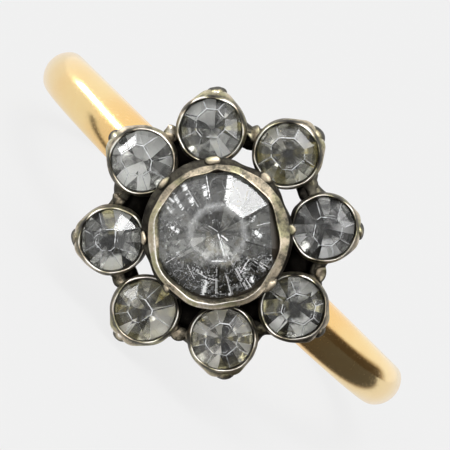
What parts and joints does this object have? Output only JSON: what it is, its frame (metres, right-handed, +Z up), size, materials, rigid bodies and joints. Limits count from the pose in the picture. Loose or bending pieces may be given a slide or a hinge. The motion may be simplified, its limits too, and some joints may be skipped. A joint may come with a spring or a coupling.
{
  "type": "gemstone ring",
  "caption": "Finger ring: a plain gold shank carries a silver flower of round clear stones in collets, lying on its side.",
  "frame": {"origin": "on the surface that the ring lies on, under the middle of its box", "axes": "+Z up from the surface, -Y towards the side that the flower faces, +X across the shank"},
  "size_m": [0.0194, 0.023, 0.011],
  "materials": {
    "gold": "polished yellow gold, worn",
    "silver": "old silver, dark in its hollows and rubbed bright on its rims",
    "stone": "cut clear paste with worn edges"
  },
  "bodies": {
    "root": {"shank": "gold", "setting": "silver", "centre_stone": "stone", "outer_stone_1": "stone", "outer_stone_2": "stone", "outer_stone_3": "stone", "outer_stone_4": "stone", "outer_stone_5": "stone", "outer_stone_6": "stone", "outer_stone_7": "stone", "outer_stone_8": "stone"}
  },
  "joints": []
}
